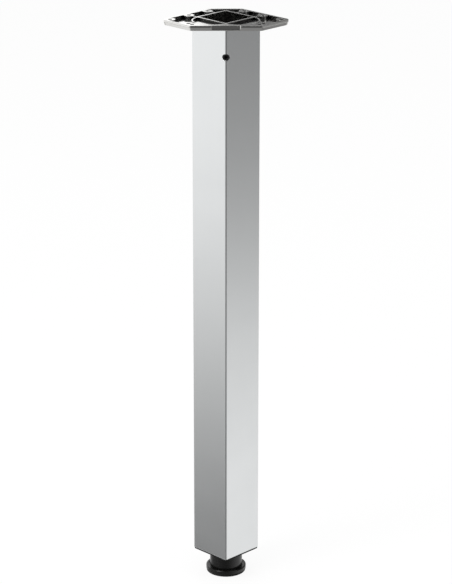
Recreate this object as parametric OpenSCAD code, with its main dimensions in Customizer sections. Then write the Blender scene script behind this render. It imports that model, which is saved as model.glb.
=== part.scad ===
// Height adjustable table leg: a square tube clamped on a die-cast top plate, with a screw foot.
// Origin at the middle of the glide pad's underside, +Z up, X and Y along the tube's sides.
// The clamp screw is in the tube's (-X, -Y) corner.

/* [Tube] */
// Outer side of the square tube
tube_side = 60; // [54:0.5:70]
// Wall of the tube
tube_wall = 1.5; // [1.2:0.1:2]
// Outer radius of the tube's four corners
tube_corner_r = 2; // [1.6:0.1:3]
// Length of the tube
tube_length = 703.2; // [300:0.1:1100]

/* [Foot] */
// Neck that shows between the foot's flange and the end cap, as set
foot_show = 22.2; // [14:0.1:30]
// Radius of the foot's flange
foot_r = 26; // [24.5:0.1:30]
// Thickness of the foot's flange
foot_flange_t = 5; // [4:0.1:8]
// Rounding of the flange's upper edge
foot_edge_r = 1.2; // [0.5:0.1:2]
// Radius of the foot's neck
neck_r = 21; // [19:0.1:22]
// Length of the neck above the flange
neck_length = 44; // [38:0.5:46]
// Wall of the hollow neck
neck_wall = 2.6; // [1.8:0.1:3.5]
// Thickness of the foot's base inside the neck, above the flange's underside
foot_base_t = 10; // [9:0.1:13]
// Outer radius of the boss around the spindle
foot_boss_r = 8.5; // [7.5:0.1:10]
// Height of that boss above the foot's base
foot_boss_h = 26; // [10:0.5:30]
// Number of ribs inside the neck
foot_ribs = 6; // [4:1:8]
// How far those ribs stop below the boss's top
rib_drop = 4; // [2:0.5:8]
// Thickness of the moulded ribs
rib_t = 1.8; // [1.4:0.1:2.4]

/* [Glide pad] */
// Radius of the pad
pad_r = 25.4; // [23:0.1:29]
// Thickness of the pad
pad_t = 3; // [2:0.1:5]
// Rounding of the pad's lower edge
pad_edge_r = 0.9; // [0.4:0.1:1.5]
// Middle radius of the ring that turns in the foot's groove
pad_ring_r = 16; // [14.5:0.1:17]
// Width of the ring
pad_ring_w = 2.2; // [1.6:0.1:3]
// Height of the ring
pad_ring_h = 2.6; // [1.5:0.1:3]

/* [Spindle and nut] */
// Outer radius of the spindle's thread
spindle_r = 5; // [4:0.5:5]
// Length of the spindle under its head
spindle_length = 90; // [80:1:110]
// Width across flats of the spindle's head and of the nut
hex_flats = 17; // [14:0.5:17]
// Height of the spindle's head
head_h = 6.4; // [5:0.1:6.6]
// Height of the nut
nut_h = 8; // [6:0.1:9]

/* [End cap] */
// Thickness of the flange under the tube's edge
cap_flange_t = 2; // [1:0.1:3]
// How far the flange stays inside the tube's outer faces
cap_inset = 0.3; // [0.2:0.1:1.2]
// Corner radius of the flange
cap_corner_r = 2.6; // [1:0.1:4]
// Wall of the plug that goes into the tube
plug_wall = 2; // [1.5:0.1:2.5]
// Wall of the sleeve that guides the neck
sleeve_wall = 2; // [1.6:0.1:2.2]
// Thickness of the web over the nut
web_t = 3; // [2.5:0.1:5]
// Radius of the boss that holds the nut
nut_boss_r = 13; // [11.5:0.1:14]
// Number of grip fins round the plug
fin_count = 4; // [2:1:6]
// Thickness of a grip fin
fin_t = 1; // [0.8:0.1:1.5]

/* [Top plate] */
// Thickness of the plate
plate_t = 6.5; // [5:0.1:9]
// Height of the lower part of the plate's side walls, which leans in
plate_lean_h = 4; // [1:0.1:5]
// How far that part leans in, at the sides behind the tube
plate_lean = 0.8; // [0.2:0.1:1.2]
// From the tube's axis to the two sides behind the tube
plate_back = 46; // [45:0.5:55]
// From the tube's axis to the two sides on the clamp screw's side
plate_front = 65; // [63:0.5:75]
// From the tube's axis to the straight cut across the front corner
front_cut = 48; // [43:0.5:52]
// From the tube's axis to the straight cut across the back corner
back_cut = 45; // [42:0.5:50]
// Corner radius of the two wing tips
tip_r = 6; // [4:0.5:8]
// Corner radius beside the front cut
front_corner_r = 4; // [2:0.5:12]
// Corner radius beside the back cut
back_corner_r = 8; // [4:0.5:10]
// Depth of the pockets in the top face
pocket_depth = 3.8; // [2:0.1:4.2]
// Width of the rim round the pockets
rim_w = 2.5; // [2:0.1:3.5]
// Width of the thin ribs in the pockets
web_w = 1.8; // [1.4:0.1:2.4]
// Width of the recess in the front cut
notch_w = 33.6; // [20:0.2:40]
// Depth of the recess in the front cut
notch_depth = 1.2; // [0.4:0.1:1.6]

/* [Screw holes] */
// Distance between the screw holes
hole_pitch = 32; // [32:1:34]
// From the sides behind the tube to the nearest row of holes
hole_edge = 7; // [6.6:0.1:8]
// Radius of a screw hole
hole_r = 2.6; // [2:0.1:3]
// Radius of the countersink at the plate's underside
sink_r = 4.8; // [3.8:0.1:5]
// Radius of the boss round a screw hole
boss_r = 6.5; // [5.8:0.1:6.6]

/* [Round bays] */
// Radius of the two round bays beside the ring
bay_r = 24; // [18:0.5:25]
// Depth of the bays
bay_depth = 2.8; // [2:0.1:4]
// Middle of a bay, along the ring's side
bay_along = -1; // [-1.5:0.5:6]
// Middle of a bay, across the ring's side
bay_across = 23.8; // [20:0.1:25]
// Radius of the small hole near each end of the front cut
pip_r = 2.5; // [1.5:0.1:3]
// How far that hole is from the plate's side
pip_edge = 8; // [6:0.1:9]
// Where that hole is along the plate's side, from the tube's axis
pip_along = 0.7; // [-2:0.1:3]

/* [Spigot] */
// Half of the spigot's inner side
spigot_inner = 23.5; // [20:0.5:24]
// Wall of the spigot, also the width of the ring in the top face
spigot_wall = 2.5; // [2:0.1:3]
// Corner radius inside the spigot
spigot_inner_r = 1; // [0.5:0.1:2]
// Depth of the spigot below the plate
spigot_depth = 45; // [44:1:70]
// Width of a pad on the spigot
grip_w = 8; // [5:0.5:10]
// From the middle of a side to the middle of a pad
grip_at = 16; // [10:0.5:18]
// Length of the lead-in at a pad's lower end
grip_lead = 7; // [3:0.5:12]

/* [Clamp screw] */
// Outer radius of the clamp screw's thread
clamp_r = 4; // [3:0.5:4]
// Length of the clamp screw
clamp_length = 16; // [12:1:20]
// Width across flats of its socket
socket_flats = 4; // [3:0.5:4]
// Depth of its socket
socket_depth = 4.5; // [3:0.1:6]
// From the plate's underside to the screw's axis
clamp_drop = 34.6; // [30:0.1:35]
// How far the screw's end lies inside the tube's corner
clamp_sunk = 1.4; // [0.5:0.1:2]
// Radius of the boss that the screw turns in
clamp_boss_r = 8; // [7:0.1:9]

/* [Fits] */
// Gap all round between the spigot's pads and the tube
spigot_gap = 0.2; // [0.1:0.05:0.4]
// Gap all round between the plug's walls and the tube
plug_gap = 0.5; // [0.3:0.1:0.8]
// Gap all round between the neck and its sleeve
neck_gap = 0.1; // [0.05:0.01:0.2]
// Gap all round between a thread and what it turns in
thread_gap = 0.05; // [0.02:0.01:0.1]
// Gap all round a hexagon in its seat
hex_gap = 0.1; // [0.05:0.01:0.2]
// Gap between the foot and the glide pad's flat faces
glide_gap = 0.1; // [0.05:0.01:0.3]
// Gap between the pad's ring and its groove
ring_gap = 0.3; // [0.2:0.05:0.5]
// Gap all round between the clamp screw and the hole in the tube
screw_hole_gap = 0.4; // [0.3:0.1:0.8]
// Room for the spindle above the nut
spindle_room = 0.5; // [0.3:0.1:1]

/* [Hidden] */
$fn = 96;
// Overlap that makes two solids of one piece join, and a cut pass its face
e = 0.5;
// Rounding of small moulded and machined edges
small_edge = 0.8;
// How far the turned end of a hexagon stays inside its flats
turned_in = 0.2;
root2 = sqrt(2);

// Heights, from the floor up
foot_z = pad_t + glide_gap;
flange_z = foot_z + foot_flange_t;
cap_z = flange_z + foot_show;
tube_z = cap_z + cap_flange_t;
plate_z = tube_z + tube_length;
plate_top = plate_z + plate_t;
clamp_z = plate_z - clamp_drop;

// Inside of the foot and the end cap
neck_top = flange_z + neck_length;
foot_floor = foot_z + foot_base_t;
head_top = foot_z + head_h;
boss_top = foot_floor + foot_boss_h;
// The neck stops just under the web when the foot is turned right in
web_z = neck_top + foot_show + small_edge;
cap_top = web_z + web_t;
nut_z = web_z - nut_h;
sleeve_r = neck_r + neck_gap;

// Half sides of the tube and of what goes into it
tube_half = tube_side / 2;
bore_half = tube_half - tube_wall;
bore_corner_r = max(tube_corner_r - tube_wall, 0.3);
plug_half = bore_half - plug_gap;
grip_half = bore_half - spigot_gap;
spigot_half = spigot_inner + spigot_wall;

// Distance of the tube's rounded corner from its axis, and of the clamp screw's outer end
corner_reach = (tube_half - tube_corner_r) * root2 + tube_corner_r;
clamp_end = corner_reach - clamp_sunk;

// Rows of screw holes, counted from the sides behind the tube
function hole_row(i) = plate_back - hole_edge - i * hole_pitch;
HOLES = [[hole_row(1), hole_row(0)], [hole_row(2), hole_row(0)], [hole_row(3), hole_row(0)],
    [hole_row(3), hole_row(1)]];
// The two holes whose bosses are tied to the ring
TIED = [HOLES[0], HOLES[1]];

// Corner of a polygon turned into an arc of radius r, from the corners before and after it
function unit(a) = a / norm(a);
function arc_at(a, b, c, r, steps) =
    let (u = unit(a - b), v = unit(c - b), half = acos(u * v) / 2,
        mid = b + unit(u + v) * r / sin(half), from = b + u * r / tan(half) - mid,
        turn = -sign(u[0] * v[1] - u[1] * v[0]) * (180 - 2 * half))
    [for (i = [0:steps]) let (t = turn * i / steps)
        mid + [from[0] * cos(t) - from[1] * sin(t), from[0] * sin(t) + from[1] * cos(t)]];
function rounded(points, radii, steps = 8) =
    let (n = len(points))
    [for (i = [0:n - 1])
        each arc_at(points[(i + n - 1) % n], points[i], points[(i + 1) % n], radii[i], steps)];

// The plate's outline, moved in by d all round
function plate_points(d) =
    let (b = plate_back - d, f = -(plate_front - d),
        bc = (back_cut - d) * root2, fc = -(front_cut - d) * root2)
    [[bc - b, b], [f, b], [f, fc - f], [fc - f, f], [b, f], [b, bc - b]];
function plate_radii(d) =
    let (bc = max(back_corner_r - d, 1), fc = max(front_corner_r - d, 1), t = max(tip_r - d, 1))
    [bc, t, fc, fc, t, bc];

module rounded_square(side, r) {
    square([side - 2 * r, side], center = true);
    square([side, side - 2 * r], center = true);
    for (x = [-1, 1], y = [-1, 1])
        translate([x, y] * (side / 2 - r)) circle(r);
}

// A hexagon given by its width across flats
module hexagon(flats, h) {
    cylinder(r = flats / 2 / cos(30), h = h, $fn = 6);
}

// A hexagon with its corners turned down at the ends that are asked for
module turned_hexagon(flats, h, low, high) {
    r = flats / 2 / cos(30);
    face_r = flats / 2 - turned_in;
    cut = (r - face_r) * tan(30);
    intersection() {
        hexagon(flats, h);
        rotate_extrude()
            polygon([[0, 0], [low ? face_r : r + e, 0], [r, low ? cut : 0], [r + e, low ? cut : 0],
                [r + e, high ? h - cut : h], [r, high ? h - cut : h], [high ? face_r : r + e, h], [0, h]]);
    }
}

// Places its children in the line of the clamp screw, with +Z pointing out of the tube's corner
module along_clamp(from) {
    translate([0, 0, clamp_z]) rotate([0, 0, -135]) translate([from, 0, 0]) rotate([0, 90, 0]) children();
}

// The plate is the same on both sides of the diagonal through the clamp screw
module both_wings() {
    children();
    mirror([1, -1, 0]) children();
}

module tube() {
    color("silver") difference() {
        translate([0, 0, tube_z]) linear_extrude(tube_length) difference() {
            rounded_square(tube_side, tube_corner_r);
            rounded_square(2 * bore_half, bore_corner_r);
        }
        along_clamp(spigot_inner) cylinder(r = clamp_r + screw_hole_gap, h = tube_side);
    }
}

// A round bay beside the ring, or its wall when it is grown
module bay(grow) {
    intersection() {
        translate([bay_along, -bay_across]) circle(bay_r + grow);
        translate([-plate_front, -plate_front]) square([2 * plate_front, plate_front - spigot_half + grow]);
    }
}

// The solid parts of the plate that rise through the pockets to the top face
module plate_islands() {
    both_wings() {
        for (p = HOLES) translate(p) circle(boss_r);
        // Short ties between the ring and the nearest bosses
        for (p = TIED) translate([p[0] - web_w / 2, spigot_half - e]) square([web_w, p[1] - spigot_half]);
        bay(web_w);
    }
    // The solid land along the front cut, as far as the ring's corner
    land = front_cut - spigot_half * root2 + spigot_wall;
    rotate(45) translate([-front_cut - e, -plate_front]) square([land + e, 2 * plate_front]);
    square(2 * spigot_half, center = true);
}

// The plate before its pockets are cut, with its underside at zero
module plate_body() {
    outline = rounded(plate_points(0), plate_radii(0));
    translate([0, 0, plate_lean_h]) {
        linear_extrude(plate_t - plate_lean_h) polygon(outline);
        mirror([0, 0, 1]) linear_extrude(plate_lean_h, scale = 1 - plate_lean / plate_back) polygon(outline);
    }
}

// The shallow recess in the front cut, with slanted ends
module notch() {
    half = notch_w / 2;
    open = half + notch_depth + e;
    polygon([[-front_cut - e, -open], [notch_depth - front_cut, -half],
        [notch_depth - front_cut, half], [-front_cut - e, open]]);
}

module plate_pockets() {
    difference() {
        polygon(rounded(plate_points(rim_w), plate_radii(rim_w)));
        plate_islands();
    }
}

// A pad on the spigot's side, with a lead-in at its lower end
module spigot_grip() {
    translate([0, grip_w / 2, 0]) rotate([90, 0, 0]) linear_extrude(grip_w)
        polygon([[spigot_half - e, 0], [grip_half, 0], [grip_half, grip_lead - spigot_depth],
            [spigot_half, -spigot_depth], [spigot_half - e, -spigot_depth]]);
}

// The boss that the clamp screw turns in, as wide as the tube's corner lets it be
module clamp_boss() {
    from = spigot_inner;
    to = grip_half * root2 - small_edge;
    intersection() {
        along_clamp(from) cylinder(r = clamp_boss_r, h = to - from);
        translate([0, 0, clamp_z]) cube([2 * grip_half, 2 * grip_half, 4 * clamp_boss_r], center = true);
    }
}

// The screws are driven up into the table, so their heads sit in the underside
module screw_hole() {
    translate([0, 0, plate_z - e]) {
        cylinder(r = hole_r, h = plate_t + 2 * e);
        cylinder(r1 = sink_r + e, r2 = hole_r, h = sink_r - hole_r + e);
    }
}

module top_plate() {
    color("lightgray") difference() {
        union() {
            translate([0, 0, plate_z]) difference() {
                plate_body();
                translate([0, 0, plate_t - pocket_depth]) linear_extrude(pocket_depth + e) plate_pockets();
                translate([0, 0, plate_t - bay_depth]) linear_extrude(bay_depth + e) both_wings() bay(0);
            }
            translate([0, 0, plate_z - spigot_depth]) linear_extrude(spigot_depth + e)
                rounded_square(2 * spigot_half, spigot_wall);
            for (a = [0:90:270], s = [-1, 1])
                translate([0, 0, plate_z]) rotate(a) translate([0, s * grip_at, 0]) spigot_grip();
            clamp_boss();
        }
        difference() {
            translate([0, 0, plate_z - spigot_depth - e])
                linear_extrude(spigot_depth + plate_t + 2 * e)
                    rounded_square(2 * spigot_inner, spigot_inner_r);
            clamp_boss();
        }
        along_clamp(0) cylinder(r = clamp_r + thread_gap, h = tube_side);
        both_wings() {
            for (p = HOLES) translate(p) screw_hole();
            translate([pip_edge - plate_front, pip_along, plate_top - pocket_depth])
                cylinder(r = pip_r, h = pocket_depth + e);
        }
        translate([0, 0, plate_z + small_edge]) rotate(45) linear_extrude(plate_t) notch();
    }
}

module clamp_screw() {
    color("dimgray") along_clamp(clamp_end - clamp_length) difference() {
        rotate_extrude() polygon([[0, 0], [clamp_r / 2, 0], [clamp_r, clamp_r / 2],
            [clamp_r, clamp_length - small_edge], [clamp_r - small_edge, clamp_length], [0, clamp_length]]);
        translate([0, 0, clamp_length - socket_depth]) hexagon(socket_flats, socket_depth + e);
    }
}

module end_cap() {
    color([0.12, 0.12, 0.12]) difference() {
        union() {
            translate([0, 0, cap_z]) linear_extrude(cap_flange_t)
                rounded_square(tube_side - 2 * cap_inset, cap_corner_r);
            // The plug's walls, with the grip fins that touch the tube
            translate([0, 0, cap_z]) linear_extrude(cap_top - cap_z) difference() {
                rounded_square(2 * plug_half, small_edge);
                square(2 * (plug_half - plug_wall), center = true);
            }
            for (i = [1:fin_count])
                translate([0, 0, tube_z + (cap_top - tube_z) * i / (fin_count + 1)]) linear_extrude(fin_t)
                    difference() {
                        rounded_square(2 * bore_half, bore_corner_r);
                        square(2 * plug_half - plug_wall, center = true);
                    }
            // The sleeve for the neck, tied to the plug's walls by ribs
            translate([0, 0, cap_z]) cylinder(r = sleeve_r + sleeve_wall, h = web_z - cap_z);
            for (a = [0:45:315]) {
                from = sleeve_r + sleeve_wall / 2;
                to = (plug_half - plug_wall / 2) * (a % 90 == 0 ? 1 : root2);
                rotate(a) translate([from, -rib_t / 2, cap_z]) cube([to - from, rib_t, web_z - cap_z + e]);
            }
            // The web over the neck, with the boss that holds the nut
            translate([0, 0, web_z]) linear_extrude(web_t) rounded_square(2 * plug_half, small_edge);
        }
        translate([0, 0, cap_z - e]) cylinder(r = sleeve_r, h = web_z - cap_z + e);
        translate([0, 0, web_z - e]) cylinder(r = spindle_r + spindle_room, h = web_t + 2 * e);
    }
    color([0.12, 0.12, 0.12]) nut_seat();
}

// The boss under the web, open downwards so that the load presses the nut against the web
module nut_seat() {
    translate([0, 0, nut_z]) difference() {
        cylinder(r = nut_boss_r, h = nut_h + e);
        translate([0, 0, -e]) hexagon(hex_flats + 2 * hex_gap, nut_h + e);
        cylinder(r = spindle_r + spindle_room, h = nut_h + 2 * e);
    }
}

module spindle_nut() {
    color("gainsboro") translate([0, 0, nut_z]) difference() {
        turned_hexagon(hex_flats, nut_h, true, true);
        translate([0, 0, -e]) cylinder(r = spindle_r + thread_gap, h = nut_h + 2 * e);
    }
}

module foot_spindle() {
    color("gainsboro") {
        translate([0, 0, foot_z]) turned_hexagon(hex_flats, head_h, true, false);
        translate([0, 0, head_top - e]) rotate_extrude()
            polygon([[0, 0], [spindle_r, 0], [spindle_r, spindle_length + e - small_edge],
                [spindle_r - small_edge, spindle_length + e], [0, spindle_length + e]]);
    }
}

module foot() {
    groove = pad_ring_w / 2 + ring_gap;
    color([0.1, 0.1, 0.1]) difference() {
        union() {
            translate([0, 0, foot_z]) rotate_extrude() {
                square([foot_r, foot_flange_t - foot_edge_r]);
                square([foot_r - foot_edge_r, foot_flange_t]);
                translate([foot_r - foot_edge_r, foot_flange_t - foot_edge_r]) circle(foot_edge_r);
            }
            translate([0, 0, foot_z]) cylinder(r = neck_r, h = neck_top - foot_z - small_edge);
            translate([0, 0, neck_top - small_edge])
                cylinder(r1 = neck_r, r2 = neck_r - small_edge, h = small_edge);
        }
        // The hollow neck, with its boss and ribs left standing
        translate([0, 0, foot_floor]) difference() {
            cylinder(r = neck_r - neck_wall, h = neck_length + foot_flange_t);
            cylinder(r = foot_boss_r, h = foot_boss_h);
            for (i = [1:foot_ribs])
                rotate(i * 360 / foot_ribs) translate([0, -rib_t / 2, -e])
                    cube([neck_r, rib_t, foot_boss_h - rib_drop + e]);
        }
        // The groove round the neck's root
        translate([0, 0, flange_z - small_edge]) difference() {
            cylinder(r = neck_r + 2 * small_edge, h = small_edge + e);
            cylinder(r = neck_r, h = small_edge + e);
        }
        // The groove that the pad's ring turns in
        translate([0, 0, foot_z - e]) difference() {
            cylinder(r = pad_ring_r + groove, h = pad_ring_h + ring_gap + e);
            cylinder(r = pad_ring_r - groove, h = pad_ring_h + ring_gap + e);
        }
        translate([0, 0, foot_z - e]) hexagon(hex_flats + 2 * hex_gap, head_h + e);
        translate([0, 0, foot_z]) cylinder(r = spindle_r + thread_gap, h = boss_top);
    }
}

module glide_pad() {
    color([0.14, 0.14, 0.14]) {
        rotate_extrude() {
            square([pad_r - pad_edge_r, pad_t]);
            translate([0, pad_edge_r]) square([pad_r, pad_t - pad_edge_r]);
            translate([pad_r - pad_edge_r, pad_edge_r]) circle(pad_edge_r);
        }
        translate([0, 0, pad_t - e]) difference() {
            cylinder(r = pad_ring_r + pad_ring_w / 2, h = pad_ring_h + e);
            translate([0, 0, -e]) cylinder(r = pad_ring_r - pad_ring_w / 2, h = pad_ring_h + 3 * e);
        }
    }
}

tube();
top_plate();
clamp_screw();
end_cap();
spindle_nut();
foot_spindle();
foot();
glide_pad();
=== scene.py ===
"""Looks of the height adjustable table leg: satin tube, bright die-cast top plate and black screw foot."""

from __future__ import annotations

import logging
import math
from dataclasses import dataclass
from enum import Enum
from typing import Callable

import bmesh
import bpy
from mathutils import Matrix, Vector


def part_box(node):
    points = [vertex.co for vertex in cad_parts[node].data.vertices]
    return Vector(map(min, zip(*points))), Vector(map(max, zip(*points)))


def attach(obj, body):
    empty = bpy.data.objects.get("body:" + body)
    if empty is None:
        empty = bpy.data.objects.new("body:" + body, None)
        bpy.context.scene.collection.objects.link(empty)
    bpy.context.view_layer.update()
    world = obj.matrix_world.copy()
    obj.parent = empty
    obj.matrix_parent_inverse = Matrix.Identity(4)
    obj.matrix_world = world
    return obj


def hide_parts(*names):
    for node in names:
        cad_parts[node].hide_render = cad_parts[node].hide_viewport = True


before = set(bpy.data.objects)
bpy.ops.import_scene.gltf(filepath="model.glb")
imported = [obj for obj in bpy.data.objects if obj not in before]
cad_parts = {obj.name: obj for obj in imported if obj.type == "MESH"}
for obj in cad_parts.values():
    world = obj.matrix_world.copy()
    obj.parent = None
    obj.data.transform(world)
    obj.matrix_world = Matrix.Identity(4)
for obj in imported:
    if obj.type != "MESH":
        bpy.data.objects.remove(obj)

MM = 0.001
WELD = 0.002 * MM  # points nearer than this are one point
LEVEL = 0.0005 * MM  # points that differ by less than this are at one height
HEX_SIDE = 60  # degrees that one side of a hexagon covers, seen from its middle

Colour = tuple[float, float, float]
Pitch = tuple[float, float, float]
Ring = list[Vector]

log = logging.getLogger("table_leg")


# Node trees


class Tree:
    """A node tree that is being built, with short calls that add and join nodes."""

    def __init__(self, tree: bpy.types.NodeTree) -> None:
        """Takes the tree to build in.

        Args:
            tree: an empty or cleared node tree.
        """
        self.tree = tree

    def add(self, kind: str, inputs: dict | None = None, **settings: object) -> bpy.types.Node:
        """Adds a node.

        Args:
            kind: the node's type, such as ShaderNodeMath.
            inputs: values or sockets for its inputs, by name or number.
            settings: the node's own settings.

        Returns:
            The new node.
        """
        node = self.tree.nodes.new(kind)
        for name, value in settings.items():
            setattr(node, name, value)
        for key, value in (inputs or {}).items():
            self.feed(value, node.inputs[key])
        return node

    def feed(self, value: object, socket: bpy.types.NodeSocket) -> None:
        """Gives an input its value, or joins it to an output.

        Args:
            value: a number, a colour, a vector or an output socket.
            socket: the input.
        """
        if isinstance(value, bpy.types.NodeSocket):
            self.tree.links.new(value, socket)
        elif socket.type == "RGBA" and not isinstance(value, (int, float)):
            socket.default_value = (*value, 1.0)
        else:
            socket.default_value = value

    def math(self, operation: str, a: object, b: object = 0.0, clamp: bool = False) -> bpy.types.NodeSocket:
        """Adds a Math node and returns its output.

        Args:
            operation: the node's operation, such as MULTIPLY.
            a: the first value or socket.
            b: the second value or socket.
            clamp: keeps the result between 0 and 1.

        Returns:
            The output socket.
        """
        return self.add("ShaderNodeMath", {0: a, 1: b}, operation=operation, use_clamp=clamp).outputs[0]

    def dot(self, a: object, b: object) -> bpy.types.NodeSocket:
        """Returns the dot product of two vectors."""
        return self.add("ShaderNodeVectorMath", {0: a, 1: b}, operation="DOT_PRODUCT").outputs["Value"]

    def mix(self, share: object, a: object, b: object) -> bpy.types.NodeSocket:
        """Mixes two colours.

        Args:
            share: how much of the second colour shows, from 0 to 1.
            a: the first colour or socket.
            b: the second colour or socket.

        Returns:
            The mixed colour's socket.
        """
        node = self.add("ShaderNodeMix", data_type="RGBA")
        # several sockets share a name: number 0 is the share, and 6, 7 and output 2 are the colours
        for value, number in ((share, 0), (a, 6), (b, 7)):
            self.feed(value, node.inputs[number])
        return node.outputs[2]

    def span(
        self, value: object, low: object, high: object, to_low: float = 0.0, to_high: float = 1.0
    ) -> bpy.types.NodeSocket:
        """Maps a value from one span to another, and stops at its ends.

        Args:
            value: the socket to map.
            low: where the first span starts, a number or a socket.
            high: where the first span ends, a number or a socket.
            to_low: what low becomes.
            to_high: what high becomes.

        Returns:
            The mapped value's socket.
        """
        inputs = {"Value": value, "From Min": low, "From Max": high, "To Min": to_low, "To Max": to_high}
        return self.add("ShaderNodeMapRange", inputs).outputs[0]


class Effect(Enum):
    """The shared effects, each a node group that several materials use."""

    # edges lightened: partly real wear, partly a painted highlight along them
    EDGES = "Worn edges with painted highlight"
    GRAIN = "Surface grain"
    PATCHES = "Handling patches"
    SCRATCHES = "Fine scratches"
    # painted shade: darkens narrow pockets and inner corners
    RECESS_SHADE = "Painted recess shade"


@dataclass(frozen=True)
class Socket:
    """A named input or output of a shared effect."""

    name: str
    kind: str = "NodeSocketFloat"
    start: float | None = None
    output: bool = False


class EffectLibrary:
    """Builds each shared effect once and places it in materials."""

    def __init__(self) -> None:
        """Starts with no group built."""
        self.makers: dict[Effect, tuple[list[Socket], Callable[[Tree, bpy.types.Node], dict]]] = {
            Effect.EDGES: (
                [
                    Socket("Radius", start=0.4 * MM),
                    Socket("Reach", start=0.25),
                    Socket("Edge", output=True),
                    Socket("Normal", "NodeSocketVector", output=True),
                ],
                self.edges,
            ),
            Effect.GRAIN: (
                [
                    Socket("Pitch", "NodeSocketVector"),
                    Socket("Detail", start=3.0),
                    Socket("Value", output=True),
                ],
                self.grain,
            ),
            Effect.PATCHES: (
                [Socket("Size", start=0.05), Socket("Contrast", start=1.5), Socket("Value", output=True)],
                self.patches,
            ),
            Effect.SCRATCHES: (
                [
                    Socket("Pitch", "NodeSocketVector"),
                    Socket("Share", start=0.08),
                    Socket("Value", output=True),
                ],
                self.scratches,
            ),
            Effect.RECESS_SHADE: (
                [
                    Socket("Reach", start=6 * MM),
                    Socket("Closed", start=0.45),
                    Socket("Open", start=0.95),
                    Socket("Value", output=True),
                ],
                self.recesses,
            ),
        }
        self.built: dict[Effect, bpy.types.NodeTree] = {}

    def group(self, effect: Effect) -> bpy.types.NodeTree:
        """Returns an effect's node group, built at its first use.

        Args:
            effect: which effect.

        Returns:
            The node group.
        """
        if effect not in self.built:
            sockets, make = self.makers[effect]
            group = bpy.data.node_groups.new(effect.value, "ShaderNodeTree")
            for s in sockets:
                made = group.interface.new_socket(
                    name=s.name, in_out="OUTPUT" if s.output else "INPUT", socket_type=s.kind
                )
                if s.start is not None:
                    made.default_value = s.start
            tree = Tree(group)
            inside = tree.add("NodeGroupInput")
            outside = tree.add("NodeGroupOutput")
            for name, socket in make(tree, inside).items():
                tree.feed(socket, outside.inputs[name])
            self.built[effect] = group
        return self.built[effect]

    def place(self, tree: Tree, effect: Effect, **values: object) -> bpy.types.Node:
        """Places an effect in a material.

        Args:
            tree: the material's tree.
            effect: which effect.
            values: its inputs, by name.

        Returns:
            The group node.
        """
        node = tree.add("ShaderNodeGroup", node_tree=self.group(effect))
        for name, value in values.items():
            tree.feed(value, node.inputs[name])
        return node

    @staticmethod
    def edges(tree: Tree, inside: bpy.types.Node) -> dict:
        """Makes a small rounding of every edge, and a mask that is 1 along the edges.

        Args:
            tree: the group's tree.
            inside: its Group Input.

        Returns:
            The outputs by name.
        """
        round_over = tree.add("ShaderNodeBevel", {"Radius": inside.outputs["Radius"]}, samples=6)
        plain = tree.add("ShaderNodeNewGeometry").outputs["Normal"]
        turned = tree.math("SUBTRACT", 1.0, tree.dot(round_over.outputs[0], plain))
        edge = tree.math("DIVIDE", turned, inside.outputs["Reach"], clamp=True)
        return {"Edge": edge, "Normal": round_over.outputs[0]}

    @staticmethod
    def stretched_noise(
        tree: Tree, inside: bpy.types.Node, detail: object, roughness: float
    ) -> bpy.types.NodeSocket:
        """Adds noise with the group's own pitch along each axis.

        Args:
            tree: the group's tree.
            inside: its Group Input, with the pitch.
            detail: how many finer layers the noise has, a number or a socket.
            roughness: how strong the finer layers are.

        Returns:
            The noise, from 0 to 1.
        """
        at = tree.add("ShaderNodeTexCoord").outputs["Object"]
        scaled = tree.add("ShaderNodeVectorMath", {0: at, 1: inside.outputs["Pitch"]}, operation="DIVIDE")
        noise = tree.add(
            "ShaderNodeTexNoise",
            {"Vector": scaled.outputs[0], "Scale": 1.0, "Detail": detail, "Roughness": roughness},
        )
        return noise.outputs[0]

    @staticmethod
    def grain(tree: Tree, inside: bpy.types.Node) -> dict:
        """Makes a fine even grain, stretched by a different pitch along each axis.

        Args:
            tree: the group's tree.
            inside: its Group Input.

        Returns:
            The outputs by name.
        """
        noise = EffectLibrary.stretched_noise(tree, inside, inside.outputs["Detail"], 0.55)
        return {"Value": tree.span(noise, low=0.25, high=0.75)}

    @staticmethod
    def patches(tree: Tree, inside: bpy.types.Node) -> dict:
        """Makes soft broad patches, as handling and uneven cooling leave them.

        Args:
            tree: the group's tree.
            inside: its Group Input.

        Returns:
            The outputs by name.
        """
        at = tree.add("ShaderNodeTexCoord").outputs["Object"]
        scale = tree.math("DIVIDE", 1.0, inside.outputs["Size"])
        noise = tree.add(
            "ShaderNodeTexNoise",
            {"Vector": at, "Scale": scale, "Detail": 4.0, "Roughness": 0.6, "Distortion": 0.4},
        )
        centred = tree.math("SUBTRACT", noise.outputs[0], 0.5)
        spread = tree.math("MULTIPLY", centred, inside.outputs["Contrast"])
        return {"Value": tree.math("ADD", spread, 0.5, clamp=True)}

    @staticmethod
    def scratches(tree: Tree, inside: bpy.types.Node) -> dict:
        """Makes a few thin marks that run along the longest pitch.

        Args:
            tree: the group's tree.
            inside: its Group Input.

        Returns:
            The outputs by name.
        """
        noise = EffectLibrary.stretched_noise(tree, inside, 1.0, 0.4)
        away = tree.math("ABSOLUTE", tree.math("SUBTRACT", noise, 0.5))
        near = tree.math("DIVIDE", away, inside.outputs["Share"], clamp=True)
        return {"Value": tree.math("SUBTRACT", 1.0, near)}

    @staticmethod
    def recesses(tree: Tree, inside: bpy.types.Node) -> dict:
        """Makes a mask that is 1 in narrow pockets and inner corners. The colour is darkened there as painted
        shade, and made rougher where polish doesn't reach.

        Args:
            tree: the group's tree.
            inside: its Group Input.

        Returns:
            The outputs by name.
        """
        reach = {"Distance": inside.outputs["Reach"]}
        around = tree.add("ShaderNodeAmbientOcclusion", reach, samples=8, only_local=True).outputs["AO"]
        return {"Value": tree.span(around, inside.outputs["Closed"], inside.outputs["Open"], 1.0, 0.0)}


# Finishes


def even(pitch: float) -> Pitch:
    """Gives a grain the same pitch along each axis."""
    return (pitch, pitch, pitch)


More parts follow.
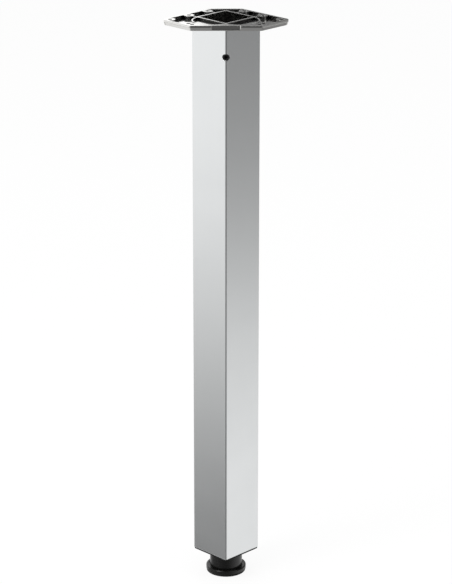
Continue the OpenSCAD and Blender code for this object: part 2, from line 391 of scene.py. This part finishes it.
@dataclass(frozen=True)
class Finish:
    """A surface finish. A material is made from it once, and shared by the pieces that have it."""

    name: str
    colour: Colour
    tint: Colour
    # edge colour: real wear, and also a painted highlight along the edges
    wear_and_highlight: Colour
    roughness: float
    roughness_spread: float
    metallic: float
    grain_pitch: Pitch
    grain_height: float
    patch_size: float = 0.06
    edge_radius: float = 0.4 * MM
    edge_wear_and_highlight: float = 0.3
    coat: float = 0.0
    coat_roughness: float = 0.2
    specular: float = 0.5
    marks: float = 0.0
    marks_pitch: Pitch = (0.4 * MM, 0.4 * MM, 60 * MM)
    # dark colour painted as shade into pockets and inner corners, and how far that painted shade reaches
    recess_shade: Colour | None = None
    recess_shade_reach: float = 6 * MM
    recess_roughness: float = 0.1

    def make(self, effects: EffectLibrary) -> bpy.types.Material:
        """Builds the material.

        Args:
            effects: where the shared effects come from.

        Returns:
            The material.
        """
        material = bpy.data.materials.new(self.name)
        material.use_nodes = True
        material.node_tree.nodes.clear()
        tree = Tree(material.node_tree)
        shader = tree.add("ShaderNodeBsdfPrincipled")
        tree.add("ShaderNodeOutputMaterial", {"Surface": shader.outputs[0]})
        edges = effects.place(tree, Effect.EDGES, Radius=self.edge_radius)
        grain = effects.place(tree, Effect.GRAIN, Pitch=self.grain_pitch)
        patches = effects.place(tree, Effect.PATCHES, Size=self.patch_size)
        self.dress(tree, effects, shader, edges, grain, patches)
        return material

    def dress(
        self,
        tree: Tree,
        effects: EffectLibrary,
        shader: bpy.types.Node,
        edges: bpy.types.Node,
        grain: bpy.types.Node,
        patches: bpy.types.Node,
    ) -> None:
        """Joins the effects to the shader.

        Args:
            tree: the material's tree.
            effects: where further effects come from.
            shader: the Principled BSDF.
            edges: the worn edges, with a painted highlight along them.
            grain: the surface grain.
            patches: the handling patches.
        """
        tint = tree.mix(patches.outputs["Value"], self.colour, self.tint)
        # edges lightened: partly wear, partly a painted highlight
        wear_and_highlight_share = tree.math("MULTIPLY", edges.outputs["Edge"], self.edge_wear_and_highlight)
        base = tree.mix(wear_and_highlight_share, tint, self.wear_and_highlight)
        smoothest, roughest = self.roughness - self.roughness_spread, self.roughness + self.roughness_spread
        rough = tree.span(patches.outputs["Value"], 0.0, 1.0, smoothest, roughest)
        centred = tree.math("SUBTRACT", grain.outputs["Value"], 0.5)
        rough = tree.math("ADD", rough, tree.math("MULTIPLY", centred, self.roughness_spread))
        if self.marks:
            marks = effects.place(tree, Effect.SCRATCHES, Pitch=self.marks_pitch)
            rough = tree.math("ADD", rough, tree.math("MULTIPLY", marks.outputs["Value"], self.marks))
        # painted shade: pockets and inner corners turn dark where the occlusion mask is high, and also get
        # rougher
        if self.recess_shade is not None:
            recess_shade = effects.place(tree, Effect.RECESS_SHADE, Reach=self.recess_shade_reach).outputs["Value"]
            base = tree.mix(recess_shade, base, self.recess_shade)
            rough = tree.math("ADD", rough, tree.math("MULTIPLY", recess_shade, self.recess_roughness))
        relief = {"Strength": 1.0, "Distance": self.grain_height}
        relief |= {"Height": grain.outputs["Value"], "Normal": edges.outputs["Normal"]}
        bump = tree.add("ShaderNodeBump", relief)
        for name, value in {
            "Base Color": base,
            "Roughness": rough,
            "Normal": bump.outputs[0],
            "Metallic": self.metallic,
            "Coat Weight": self.coat,
            "Coat Roughness": self.coat_roughness,
            "Specular IOR Level": self.specular,
        }.items():
            tree.feed(value, shader.inputs[name])


SATIN_CHROME = Finish(
    name="satin_chrome_tube",
    colour=(0.83, 0.845, 0.849),
    tint=(0.805, 0.821, 0.826),
    # lighter edge colour: wear, and a painted highlight along the tube's edges
    wear_and_highlight=(0.87, 0.883, 0.886),
    roughness=0.17,
    roughness_spread=0.015,
    metallic=1.0,
    grain_pitch=(0.16 * MM, 0.16 * MM, 7 * MM),
    grain_height=0.0006 * MM,
    patch_size=0.12,
    edge_radius=0.6 * MM,
    edge_wear_and_highlight=0.6,
    marks=0.03,
)
BRIGHT_CASTING = Finish(
    name="bright_die_cast_plate",
    colour=(0.794, 0.789, 0.768),
    tint=(0.735, 0.731, 0.712),
    wear_and_highlight=(0.882, 0.878, 0.862),
    roughness=0.1,
    roughness_spread=0.03,
    metallic=1.0,
    grain_pitch=even(1.6 * MM),
    grain_height=0.006 * MM,
    patch_size=0.02,
    edge_radius=0.45 * MM,
    edge_wear_and_highlight=0.6,
    # painted shade, nearly black, in the plate's pockets and inner corners
    recess_shade=(0.045, 0.045, 0.046),
    recess_shade_reach=7 * MM,
)
BLACK_OXIDE = Finish(
    name="black_oxide_screw",
    colour=(0.005, 0.005, 0.0056),
    tint=(0.01, 0.0098, 0.0104),
    # far lighter than the black: wear, and a painted highlight on the socket's lip and the screw's edges
    wear_and_highlight=(0.24, 0.24, 0.245),
    roughness=0.3,
    roughness_spread=0.06,
    metallic=0.3,
    grain_pitch=even(0.25 * MM),
    grain_height=0.004 * MM,
    patch_size=0.006,
    edge_radius=0.2 * MM,
    edge_wear_and_highlight=0.8,
    specular=0.35,
)
ZINC_PLATING = Finish(
    name="zinc_plated_steel",
    colour=(0.66, 0.67, 0.68),
    tint=(0.62, 0.635, 0.66),
    wear_and_highlight=(0.76, 0.765, 0.77),
    roughness=0.28,
    roughness_spread=0.05,
    metallic=1.0,
    grain_pitch=even(0.3 * MM),
    grain_height=0.003 * MM,
    patch_size=0.01,
    edge_radius=0.2 * MM,
    edge_wear_and_highlight=0.4,
)
BLACK_MOULDING = Finish(
    name="black_moulded_foot",
    colour=(0.0042, 0.0042, 0.0038),
    tint=(0.0072, 0.0072, 0.0066),
    wear_and_highlight=(0.022, 0.022, 0.021),
    roughness=0.24,
    roughness_spread=0.04,
    metallic=0.0,
    grain_pitch=even(0.35 * MM),
    grain_height=0.006 * MM,
    patch_size=0.03,
    edge_radius=0.5 * MM,
    edge_wear_and_highlight=0.7,
    coat=0.33,
    coat_roughness=0.14,
    specular=0.3,
)
BLACK_CAP = Finish(
    name="black_moulded_end_cap",
    colour=(0.006, 0.006, 0.0062),
    tint=(0.009, 0.009, 0.0092),
    wear_and_highlight=(0.024, 0.024, 0.025),
    roughness=0.42,
    roughness_spread=0.05,
    metallic=0.0,
    grain_pitch=even(0.25 * MM),
    grain_height=0.008 * MM,
    patch_size=0.02,
    edge_radius=0.3 * MM,
    edge_wear_and_highlight=0.5,
    specular=0.2,
)
SOFT_PAD = Finish(
    name="soft_glide_pad",
    colour=(0.007, 0.007, 0.007),
    tint=(0.011, 0.011, 0.011),
    wear_and_highlight=(0.03, 0.03, 0.03),
    roughness=0.62,
    roughness_spread=0.08,
    metallic=0.0,
    grain_pitch=even(0.18 * MM),
    grain_height=0.012 * MM,
    patch_size=0.012,
    edge_radius=0.3 * MM,
    edge_wear_and_highlight=0.6,
    specular=0.3,
)


# Meshes


class MeshMaker:
    """Collects rings of points and turns them into one mesh object."""

    def __init__(self) -> None:
        """Starts with an empty mesh."""
        self.bm = bmesh.new()

    def ring(self, points: Ring) -> list[bmesh.types.BMVert]:
        """Adds a ring of points and returns its vertices."""
        return [self.bm.verts.new(p) for p in points]

    def wall(self, low: list[bmesh.types.BMVert], high: list[bmesh.types.BMVert]) -> None:
        """Joins two rings of the same length with a band of faces.

        Args:
            low: the lower ring, counter-clockwise from above.
            high: the upper ring.
        """
        n = len(low)
        for i in range(n):
            self.bm.faces.new((low[i], low[(i + 1) % n], high[(i + 1) % n], high[i]))

    def lid(self, ring: list[bmesh.types.BMVert], up: bool) -> None:
        """Closes a ring with one face that looks up or down."""
        self.bm.faces.new(ring if up else list(reversed(ring)))

    def to_object(self, name: str, place: Matrix, smooth_below: float = 35.0) -> bpy.types.Object:
        """Makes the object, with its place in its vertices.

        Args:
            name: the object's name.
            place: where the mesh goes, in the row frame.
            smooth_below: edges that turn by less than this many degrees are shaded smooth.

        Returns:
            The new object, in the scene.
        """
        bmesh.ops.remove_doubles(self.bm, verts=self.bm.verts, dist=WELD)
        bmesh.ops.dissolve_degenerate(self.bm, edges=self.bm.edges, dist=WELD)
        bmesh.ops.recalc_face_normals(self.bm, faces=self.bm.faces)
        for face in self.bm.faces:
            face.smooth = True
        for edge in self.bm.edges:
            edge.smooth = edge.calc_face_angle(math.pi) < math.radians(smooth_below)
        mesh = bpy.data.meshes.new(name)
        self.bm.to_mesh(mesh)
        self.bm.free()
        mesh.transform(place)
        made = bpy.data.objects.new(name, mesh)
        bpy.context.scene.collection.objects.link(made)
        return made


@dataclass(frozen=True)
class ScrewThread:
    """An outer metric thread with flat crests and roots, cut along a rod on the Z axis."""

    radius: float
    pitch: float
    depth_share: float = 0.6134
    crest_end: float = 2 / 16
    root_start: float = 7 / 16
    root_end: float = 11 / 16
    sides: int = 48

    @property
    def core(self) -> float:
        """Returns the radius at the thread's root, its depth being a share of the pitch."""
        return self.radius - self.depth_share * self.pitch

    def cut(self, maker: MeshMaker, low: float, high: float, chamfer: float = 0.0) -> None:
        """Adds the threaded surface between two heights, open at both ends.

        Args:
            maker: the mesh to add to.
            low: height of the lower end.
            high: height of the upper end.
            chamfer: how far the upper end is turned down below the root.
        """
        crests = [(0.0, self.radius), (self.crest_end, self.radius)]
        profile = [*crests, (self.root_start, self.core), (self.root_end, self.core)]
        turns = math.ceil((high - low) / self.pitch) + 2
        rows: list[list[bmesh.types.BMVert]] = []
        for turn in range(-1, turns):
            for phase, r in profile:
                start = low + (turn + phase) * self.pitch
                rows.append(self.row(maker, start, r, low, high, chamfer))
        step = len(profile)
        for j in range(len(rows) - 1):
            for i in range(self.sides - 1):
                self.quad(maker, rows[j][i], rows[j][i + 1], rows[j + 1][i + 1], rows[j + 1][i])
            if j + step + 1 < len(rows):
                last = self.sides - 1
                self.quad(maker, rows[j][last], rows[j + step][0], rows[j + step + 1][0], rows[j + 1][last])

    def row(
        self, maker: MeshMaker, start: float, r: float, low: float, high: float, chamfer: float
    ) -> list[bmesh.types.BMVert]:
        """Adds one turn of a helical line, stopped and turned down at the rod's ends.

        Args:
            maker: the mesh to add to.
            start: height of the line's first point.
            r: its radius.
            low: height of the lower end.
            high: height of the upper end.
            chamfer: how far the upper end is turned down below the root.

        Returns:
            The line's vertices.
        """
        made = []
        for i in range(self.sides):
            z = min(max(start + self.pitch * i / self.sides, low), high)
            q = min(r, self.core + (z - low), self.core - chamfer + (high - z))
            a = 2 * math.pi * i / self.sides
            made.append(maker.bm.verts.new((q * math.cos(a), q * math.sin(a), z)))
        return made

    def circle(self, r: float, z: float) -> Ring:
        """Returns a circle with the thread's number of sides."""
        angles = [2 * math.pi * i / self.sides for i in range(self.sides)]
        return [Vector((r * math.cos(a), r * math.sin(a), z)) for a in angles]

    @staticmethod
    def quad(maker: MeshMaker, *corners: bmesh.types.BMVert) -> None:
        """Adds a face unless all its corners lie at one height, at a flat end.

        Args:
            maker: the mesh to add to.
            corners: the face's four corners.
        """
        heights = [c.co.z for c in corners]
        if max(heights) - min(heights) > LEVEL:
            maker.bm.faces.new(corners)


def corner_radius(flats: float) -> float:
    """Gives a hexagon's radius at its corners from its width across flats."""
    return flats / 2 / math.cos(math.radians(HEX_SIDE / 2))


def hexagon_ring(flats: float, z: float, sides: int, most: float) -> Ring:
    """Gives a hexagon with many points, cut to a circle, so that it joins round rings.

    Args:
        flats: width across flats.
        z: height of the ring.
        sides: number of points, a multiple of 12.
        most: radius of the circle that cuts its corners.

    Returns:
        The points, counter-clockwise.
    """
    points = []
    for i in range(sides):
        a = 2 * math.pi * i / sides
        # how far the point is from the middle of its flat, in degrees
        off = math.degrees(a) % HEX_SIDE - HEX_SIDE / 2
        r = min(flats / 2 / math.cos(math.radians(off)), most)
        points.append(Vector((r * math.cos(a), r * math.sin(a), z)))
    return points


# Sub-assemblies


@dataclass
class SubAssembly:
    """Pieces that belong together and share the effects."""

    effects: EffectLibrary

    def finish(self, finish: Finish) -> bpy.types.Material:
        """Returns a finish's material, built at its first use."""
        return bpy.data.materials.get(finish.name) or finish.make(self.effects)

    def dress_node(self, node: str, finish: Finish) -> None:
        """Gives a CAD node its finish.

        Args:
            node: the node's name.
            finish: its finish.
        """
        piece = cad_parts[node]
        piece.data.materials.clear()
        piece.data.materials.append(self.finish(finish))
        log.info("%s: CAD node in %s", node, finish.name)

    def add_piece(self, piece: bpy.types.Object, body: str, node: str, finish: Finish) -> None:
        """Puts a piece in place of a CAD node.

        Args:
            piece: the new object, already in place.
            body: the CAD body that it rides on.
            node: the CAD node that it stands for.
            finish: its finish.
        """
        piece.data.materials.append(self.finish(finish))
        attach(piece, body)
        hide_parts(node)
        log.info("%s: %d faces on %s, for %s", piece.name, len(piece.data.polygons), body, node)


@dataclass
class TopFitting(SubAssembly):
    """The die-cast plate and the screw that clamps it in the tube's corner."""

    thread_radius: float = 4 * MM
    thread_pitch: float = 1.25 * MM
    length: float = 16 * MM
    point_radius: float = 2 * MM
    point_height: float = 1.2 * MM
    face_break: float = 0.05 * MM
    socket_flats: float = 4 * MM
    socket_depth: float = 4.5 * MM
    mouth_clearance: float = 0.1 * MM
    mouth_depth: float = 0.25 * MM
    drill_radius: float = 0.3 * MM
    drill_depth: float = 0.9 * MM
    corner_azimuth: float = -135.0
    tube_corner_centre: float = 28 * MM
    tube_corner_radius: float = 2 * MM
    end_sunk: float = 1.4 * MM

    def build(self) -> None:
        """Dresses the plate and builds the clamp screw."""
        self.dress_node("top_plate", BRIGHT_CASTING)
        self.add_piece(self.clamp_screw(), "leg", "clamp_screw", BLACK_OXIDE)

    def clamp_screw(self) -> bpy.types.Object:
        """Makes the grub screw: a thread, a cone point and a hexagon socket.

        Returns:
            The screw, in the line of its hole.
        """
        low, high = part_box("clamp_screw")
        thread = ScrewThread(self.thread_radius, self.thread_pitch)
        maker = MeshMaker()
        self.thread_with_socket(maker, thread)
        # the outer face lies a little under the tube's rounded corner, and the thread's axis on the diagonal
        face = self.tube_corner_centre * math.sqrt(2) + self.tube_corner_radius - self.end_sunk
        push = Matrix.Translation((face - self.length, 0, 0))
        out = Matrix.Rotation(math.radians(self.corner_azimuth), 4, "Z") @ push
        turn = Matrix.Rotation(math.radians(90), 4, "Y")
        place = Matrix.Translation((0, 0, (low.z + high.z) / 2)) @ out @ turn
        return maker.to_object("clamp_screw_with_thread", place)

    def thread_with_socket(self, maker: MeshMaker, thread: ScrewThread) -> None:
        """Adds the screw's surface, with its socket open at the upper end.

        Args:
            maker: the mesh to add to.
            thread: the screw's thread.
        """
        sides, core, flats = thread.sides, thread.core, self.socket_flats
        face, floor = self.length, self.length - self.socket_depth
        thread.cut(maker, self.point_height, face - self.face_break)
        tip = maker.ring(thread.circle(self.point_radius, 0))
        maker.lid(tip, up=False)
        maker.wall(tip, maker.ring(thread.circle(core, self.point_height)))
        # the outer face, its countersunk socket mouth, and the socket down to the drill's mark
        mouth = corner_radius(flats) + self.mouth_clearance
        rings = [
            maker.ring(thread.circle(core, face - self.face_break)),
            maker.ring(thread.circle(core - self.face_break, face)),
            maker.ring(thread.circle(mouth, face)),
            maker.ring(hexagon_ring(flats, face - self.mouth_depth, sides, mouth)),
            maker.ring(hexagon_ring(flats, floor, sides, mouth)),
            maker.ring(thread.circle(self.drill_radius, floor - self.drill_depth)),
        ]
        for outer, inner in zip(rings, rings[1:]):
            maker.wall(outer, inner)
        maker.lid(rings[-1], up=True)


@dataclass
class LegTube(SubAssembly):
    """The square tube."""

    def build(self) -> None:
        """Dresses the tube."""
        self.dress_node("tube", SATIN_CHROME)


@dataclass
class ScrewFoot(SubAssembly):
    """The end cap, its nut, and the foot with its spindle and glide pad."""

    thread_radius: float = 5 * MM
    thread_pitch: float = 1.5 * MM
    head_flats: float = 17 * MM
    head_height: float = 6.4 * MM
    head_turned: float = 0.2 * MM
    head_slope: float = 30.0
    end_chamfer: float = 0.4 * MM

    def build(self) -> None:
        """Dresses the moulded pieces and builds the threaded spindle."""
        self.dress_node("end_cap", BLACK_CAP)
        self.dress_node("spindle_nut", ZINC_PLATING)
        self.dress_node("foot", BLACK_MOULDING)
        self.dress_node("glide_pad", SOFT_PAD)
        self.add_piece(self.spindle(), "foot", "foot_spindle", ZINC_PLATING)

    def spindle(self) -> bpy.types.Object:
        """Makes the hexagon-headed spindle with its thread.

        Returns:
            The spindle, upright in the foot.
        """
        low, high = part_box("foot_spindle")
        thread = ScrewThread(self.thread_radius, self.thread_pitch)
        maker = MeshMaker()
        sides, flats, seat = thread.sides, self.head_flats, low.z + self.head_height
        corner = corner_radius(flats)
        face = flats / 2 - self.head_turned
        drop = (corner - face) * math.tan(math.radians(self.head_slope))
        rings = [
            maker.ring(hexagon_ring(flats, low.z, sides, face)),
            maker.ring(hexagon_ring(flats, low.z + drop, sides, corner)),
            maker.ring(hexagon_ring(flats, seat, sides, corner)),
            maker.ring(thread.circle(thread.core, seat)),
        ]
        maker.lid(rings[0], up=False)
        for lower, upper in zip(rings, rings[1:]):
            maker.wall(lower, upper)
        thread.cut(maker, seat, high.z, self.end_chamfer)
        maker.lid(maker.ring(thread.circle(thread.core - self.end_chamfer, high.z)), up=True)
        return maker.to_object("spindle_with_thread", Matrix.Identity(4))


# Studio


@dataclass(frozen=True)
class Ramp:
    """Brightness of the studio on one side, at a number of heights above or below the horizon."""

    stops: tuple[tuple[float, float], ...]

    def place(self, tree: Tree, height: bpy.types.NodeSocket) -> bpy.types.NodeSocket:
        """Adds the ramp to the world.

        Args:
            tree: the world's tree.
            height: the direction's Z, from -1 to 1.

        Returns:
            The ramp's colour.
        """
        node = tree.add("ShaderNodeValToRGB", {0: tree.span(height, -1.0, 1.0)})
        node.color_ramp.interpolation = "LINEAR"
        found = node.color_ramp.elements
        while len(found) < len(self.stops):
            found.new(0.5)  # anywhere: each stop gets its place below
        for element, (degrees, level) in zip(found, self.stops):
            element.position = (math.sin(math.radians(degrees)) + 1) / 2
            element.color = (level, level, level, 1)
        return node.outputs[0]


@dataclass
class Studio:
    """Floor, lamps, the room that the metal reflects, and the camera."""

    floor_half: float = 14.0
    floor_cells: int = 8
    floor_colour: Colour = (0.93, 0.93, 0.93)
    floor_glow: float = 0.88
    camera_azimuth: float = -45.0
    camera_elevation: float = 19.218
    camera_distance: float = 3.177
    aim_height: float = 0.3862
    lens: float = 154.5
    sensor: float = 36.0
    matt_light: Colour = (0.8, 0.8, 0.8)
    wall_falloff: float = 2.0
    back_edge: tuple[float, float] = (0.003, 0.009)
    left: Ramp = Ramp(
        (
            (-90, 0.9),
            (-33, 0.98),
            (-28.5, 0.12),
            (-25, 0.17),
            (-23, 0.37),
            (-20.7, 0.6),
            (-18.4, 0.86),
            (-16.2, 1.0),
            (-8, 1.03),
            (-2, 0.9),
            (6, 0.12),
            (25, 0.06),
            (75, 0.85),
        )
    )
    right: Ramp = Ramp(
        (
            (-90, 0.2),
            (-33, 0.2),
            (-29, 0.95),
            (-23, 0.93),
            (-21.3, 0.88),
            (-19.5, 0.71),
            (-17.6, 0.4),
            (-15, 0.3),
            (-12, 0.28),
            (-4, 0.06),
            (14, 0.02),
            (40, 0.05),
            (75, 0.8),
        )
    )
    front: Ramp = Ramp(
        (
            (-90, 0.4),
            (-42, 0.3),
            (-34, 0.24),
            (-25, 0.17),
            (-12, 0.09),
            (0, 0.05),
            (20, 0.05),
            (50, 0.5),
            (75, 0.9),
        )
    )
    back_left: Ramp = Ramp(((-90, 0.5), (-30, 0.8), (0, 1.35), (25, 1.35), (40, 1.2), (75, 1.0)))
    back_right: Ramp = Ramp(((-90, 0.5), (-30, 0.6), (-5, 0.22), (21, 0.18), (34, 0.5), (50, 0.9), (75, 1.0)))

    def build(self) -> None:
        """Builds everything that isn't the leg."""
        self.floor()
        self.world()
        self.lamp("key_softbox", azimuth=-95, elevation=48, distance=2.6, size=1.5, watts=18)
        self.lamp("edge_light", azimuth=-100, elevation=42, distance=2.4, size=0.5, watts=8)
        self.lamp("fill_softbox", azimuth=10, elevation=35, distance=3.0, size=1.8, watts=10)
        self.lamp("back_softbox", azimuth=140, elevation=55, distance=2.8, size=1.4, watts=10)
        self.camera()

    def direction(self, azimuth: float, elevation: float) -> Vector:
        """Gives the unit vector from the leg towards a place in the room.

        Args:
            azimuth: 0 is towards -Y and 90 towards +X, in degrees.
            elevation: above the horizon, in degrees.

        Returns:
            The unit vector.
        """
        a, e = math.radians(azimuth), math.radians(elevation)
        return Vector((math.sin(a) * math.cos(e), -math.cos(a) * math.cos(e), math.sin(e)))

    def floor(self) -> None:
        """Makes the pale floor. The camera sees it near white, with the leg's shadow on it."""
        bm = bmesh.new()
        cells = self.floor_cells
        bmesh.ops.create_grid(bm, x_segments=cells, y_segments=cells, size=self.floor_half)
        mesh = bpy.data.meshes.new("floor")
        bm.to_mesh(mesh)
        bm.free()
        floor = bpy.data.objects.new("floor", mesh)
        bpy.context.scene.collection.objects.link(floor)
        floor.visible_glossy = False
        material = bpy.data.materials.new("pale_floor")
        material.use_nodes = True
        material.node_tree.nodes.clear()
        tree = Tree(material.node_tree)
        matt = tree.add("ShaderNodeBsdfDiffuse", {"Color": self.floor_colour})
        glow = tree.add("ShaderNodeEmission", {"Color": (1.0, 1.0, 1.0), "Strength": 1.0})
        camera_ray = tree.add("ShaderNodeLightPath").outputs["Is Camera Ray"]
        seen = tree.math("MULTIPLY", camera_ray, self.floor_glow)
        mixed = tree.add("ShaderNodeMixShader", {0: seen, 1: matt.outputs[0], 2: glow.outputs[0]})
        tree.add("ShaderNodeOutputMaterial", {"Surface": mixed.outputs[0]})
        mesh.materials.append(material)

    def world(self) -> None:
        """Makes the room: white to the camera, soft and pale on matt surfaces, and walls for the metal."""
        world = bpy.data.worlds.new("room")
        bpy.context.scene.world = world
        world.use_nodes = True
        world.node_tree.nodes.clear()
        tree = Tree(world.node_tree)
        way = tree.add("ShaderNodeTexCoord").outputs["Generated"]
        height = tree.add("ShaderNodeSeparateXYZ", {0: way}).outputs["Z"]
        level = tree.add("ShaderNodeVectorMath", {0: way, 1: (1, 1, 0)}, operation="MULTIPLY").outputs[0]
        level = tree.add("ShaderNodeVectorMath", {0: level}, operation="NORMALIZE").outputs[0]
        front = self.direction(self.camera_azimuth, 0)
        left = front.cross(Vector((0, 0, 1)))
        side = tree.span(tree.dot(level, tuple(left)), *self.back_edge)
        back = tree.mix(side, self.back_right.place(tree, height), self.back_left.place(tree, height))
        sides = (
            (left, self.left.place(tree, height)),
            (-left, self.right.place(tree, height)),
            (front, self.front.place(tree, height)),
            (-front, back),
        )
        room: bpy.types.NodeSocket | None = None
        for axis, wall in sides:
            facing = tree.math("MAXIMUM", tree.dot(level, tuple(axis)), 0.0)
            share = tree.math("POWER", facing, self.wall_falloff)
            lit = tree.add("ShaderNodeVectorMath", {0: wall, "Scale": share}, operation="SCALE").outputs[0]
            if room is not None:
                lit = tree.add("ShaderNodeVectorMath", {0: room, 1: lit}, operation="ADD").outputs[0]
            room = lit
        ray = tree.add("ShaderNodeLightPath").outputs
        mirrored = tree.math("ADD", ray["Is Glossy Ray"], ray["Is Transmission Ray"], clamp=True)
        matt = tree.mix(ray["Is Camera Ray"], self.matt_light, (1.0, 1.0, 1.0))
        colour = tree.mix(mirrored, matt, room)
        glow = tree.add("ShaderNodeBackground", {"Color": colour, "Strength": 1.0})
        tree.add("ShaderNodeOutputWorld", {"Surface": glow.outputs[0]})

    def lamp(
        self, name: str, azimuth: float, elevation: float, distance: float, size: float, watts: float
    ) -> None:
        """Adds a softbox that looks at the leg's middle.

        Args:
            name: the lamp's name.
            azimuth: where it stands round the leg, in degrees.
            elevation: its height above the horizon, in degrees.
            distance: from the leg's middle, in metres.
            size: its side, in metres.
            watts: its power.
        """
        data = bpy.data.lights.new(name, "AREA")
        data.shape = "SQUARE"
        data.size = size
        data.energy = watts
        lamp = bpy.data.objects.new(name, data)
        bpy.context.scene.collection.objects.link(lamp)
        way = self.direction(azimuth, elevation)
        lamp.location = Vector((0, 0, self.aim_height)) + way * distance
        lamp.rotation_euler = (-way).to_track_quat("-Z", "Y").to_euler()

    def camera(self) -> None:
        """Puts the camera where the photograph was taken from."""
        data = bpy.data.cameras.new("camera")
        data.lens = self.lens
        data.sensor_width = self.sensor
        camera = bpy.data.objects.new("camera", data)
        bpy.context.scene.collection.objects.link(camera)
        way = self.direction(self.camera_azimuth, self.camera_elevation)
        camera.location = Vector((0, 0, self.aim_height)) + way * self.camera_distance
        camera.rotation_euler = (-way).to_track_quat("-Z", "Y").to_euler()
        bpy.context.scene.camera = camera


def main() -> None:
    """Builds the leg's looks and the studio."""
    logging.basicConfig(level=logging.INFO, format="%(name)s: %(message)s")
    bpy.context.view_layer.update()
    bpy.context.scene.view_settings.view_transform = "Standard"
    effects = EffectLibrary()
    for assembly in (TopFitting(effects), LegTube(effects), ScrewFoot(effects)):
        assembly.build()
    Studio().build()


if __name__ == "__main__":
    main()
